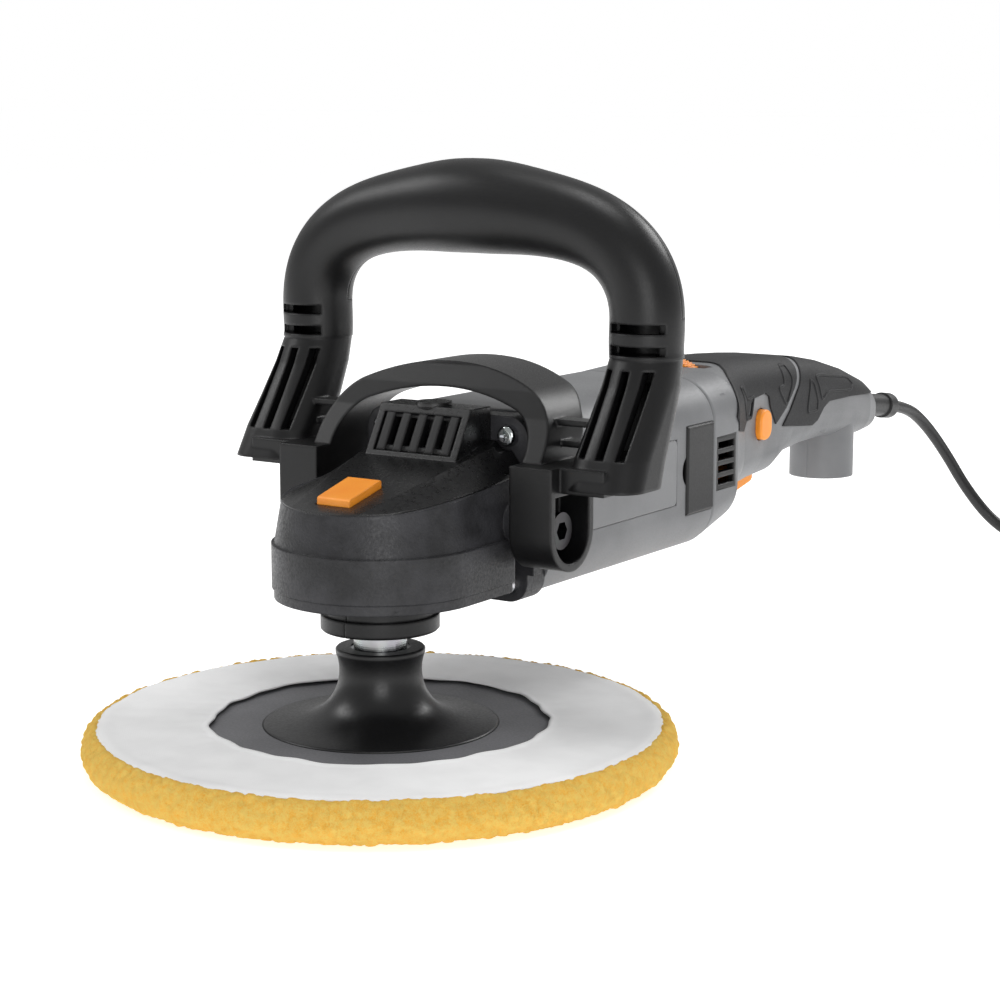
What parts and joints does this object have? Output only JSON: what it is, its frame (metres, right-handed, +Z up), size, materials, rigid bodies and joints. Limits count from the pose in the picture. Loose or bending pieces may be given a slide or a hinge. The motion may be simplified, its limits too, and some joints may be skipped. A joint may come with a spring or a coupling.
{
  "type": "rotary polisher",
  "caption": "Corded rotary polisher with a two-legged loop handle on the gear head, a paddle-trigger rear handle and a wool bonnet on a flexible backing plate.",
  "frame": {"origin": "centre of the bonnet's working face, on the spindle axis", "axes": "+Z up the spindle, +Y towards the rear handle and cord, +X towards the operator's left hand"},
  "size_m": [0.2482, 0.5844, 0.1998],
  "materials": {
    "wool_pile": "looped pile",
    "bonnet_cloth": "woven",
    "plate_grey": "satin",
    "hub_black": "satin",
    "steel": "machined",
    "gear_steel": "oiled",
    "cast_black": "textured coating",
    "black_plastic": "satin",
    "gloss_black": "smooth",
    "grey_plastic": "fine moulded grain",
    "panel_grey": "satin",
    "grip_rubber": "soft touch",
    "orange_plastic": "satin",
    "lamination": "stacked sheet",
    "copper": "enamelled wire",
    "carbon": "matte",
    "brass": "satin",
    "board_green": "satin",
    "cord_black": "satin"
  },
  "bodies": {
    "tool": {"gear_housing": "cast_black", "bearing_cap": "cast_black", "cap_screws": "steel", "neck_sleeve": "black_plastic", "spindle_bearings": "steel", "head_cover": "gloss_black", "outlet_grille": "black_plastic", "spindle_lock_spring": "steel", "motor_housing": "grey_plastic", "side_panels": "panel_grey", "side_trims": "black_plastic", "flange_screws": "steel", "motor_bearings": "steel", "stator_core": "lamination", "field_coils": "copper", "fan_baffle": "black_plastic", "brush_holders": "brass", "carbon_brushes": "carbon", "brush_springs": "steel", "brush_caps": "black_plastic", "handle_shell_left": "grey_plastic", "handle_shell_right": "grey_plastic", "handle_screws": "steel", "grip_rubber_front": "grip_rubber", "grip_rubber_rear": "grip_rubber", "vent_grilles": "black_plastic", "switch_body": "black_plastic", "trigger_pin": "steel", "trigger_spring": "steel", "lock_on_spring": "steel", "speed_controller": "board_green", "cord_clamp": "black_plastic", "pivot_washers": "steel", "pivot_bolts": "steel", "strain_relief": "cord_black", "cord": "cord_black", "cord_coil": "cord_black", "plug_body": "cord_black", "plug_pins": "brass"},
    "pad_drive": {"spindle": "steel", "crown_gear": "gear_steel", "hub_insert": "steel", "plate_hub": "hub_black", "backing_plate": "plate_grey", "bonnet_pile": "wool_pile", "bonnet_cloth": "bonnet_cloth"},
    "armature": {"armature_shaft": "steel", "armature_core": "lamination", "armature_winding": "copper", "commutator": "copper", "fan": "black_plastic", "pinion": "gear_steel"},
    "speed_dial": {"speed_dial": "orange_plastic"},
    "trigger": {"trigger": "orange_plastic"},
    "lock_on": {"lock_on_button": "orange_plastic"},
    "spindle_lock": {"spindle_lock_button": "orange_plastic", "spindle_lock_pin": "steel"},
    "loop_handle": {"loop_frame": "black_plastic", "loop_back_shell": "black_plastic", "loop_screws": "steel"}
  },
  "joints": [
    {"name": "spindle_spin", "type": "hinge", "parent": "tool", "child": "pad_drive", "pos_m": [0, 0, 0], "axis": [0, 0, 1], "continuous": true},
    {"name": "armature_spin", "type": "hinge", "parent": "tool", "child": "armature", "pos_m": [0, 0.1, 0.082], "axis": [0, 1, 0], "continuous": true},
    {"name": "dial_turn", "type": "hinge", "parent": "tool", "child": "speed_dial", "pos_m": [0, 0.194, 0.096], "axis": [0, 1, 0], "range_deg": [-130, 130]},
    {"name": "trigger_pull", "type": "hinge", "parent": "tool", "child": "trigger", "pos_m": [0, 0.207, 0.0695], "axis": [1, 0, 0], "range_deg": [0, 6], "stiffness_Nm_per_rad": 2.5, "springref_deg": -3.44, "deforming": ["trigger_spring"]},
    {"name": "lock_on_push", "type": "slide", "parent": "tool", "child": "lock_on", "axis": [-1, 0, 0], "range_m": [0, 0.003], "stiffness_N_per_m": 500, "springref_m": -0.001, "deforming": ["lock_on_spring"]},
    {"name": "spindle_lock_push", "type": "slide", "parent": "tool", "child": "spindle_lock", "axis": [0, 0, -1], "range_m": [0, 0.0026], "stiffness_N_per_m": 900, "springref_m": -0.001, "deforming": ["spindle_lock_spring"]},
    {"name": "loop_tilt", "type": "hinge", "parent": "tool", "child": "loop_handle", "pos_m": [0, 0.031, 0.0785], "axis": [1, 0, 0], "range_deg": [-5, 25]}
  ],
  "couplings": [
    {"joint": "armature_spin", "follows": "spindle_spin", "ratio": 5}
  ]
}
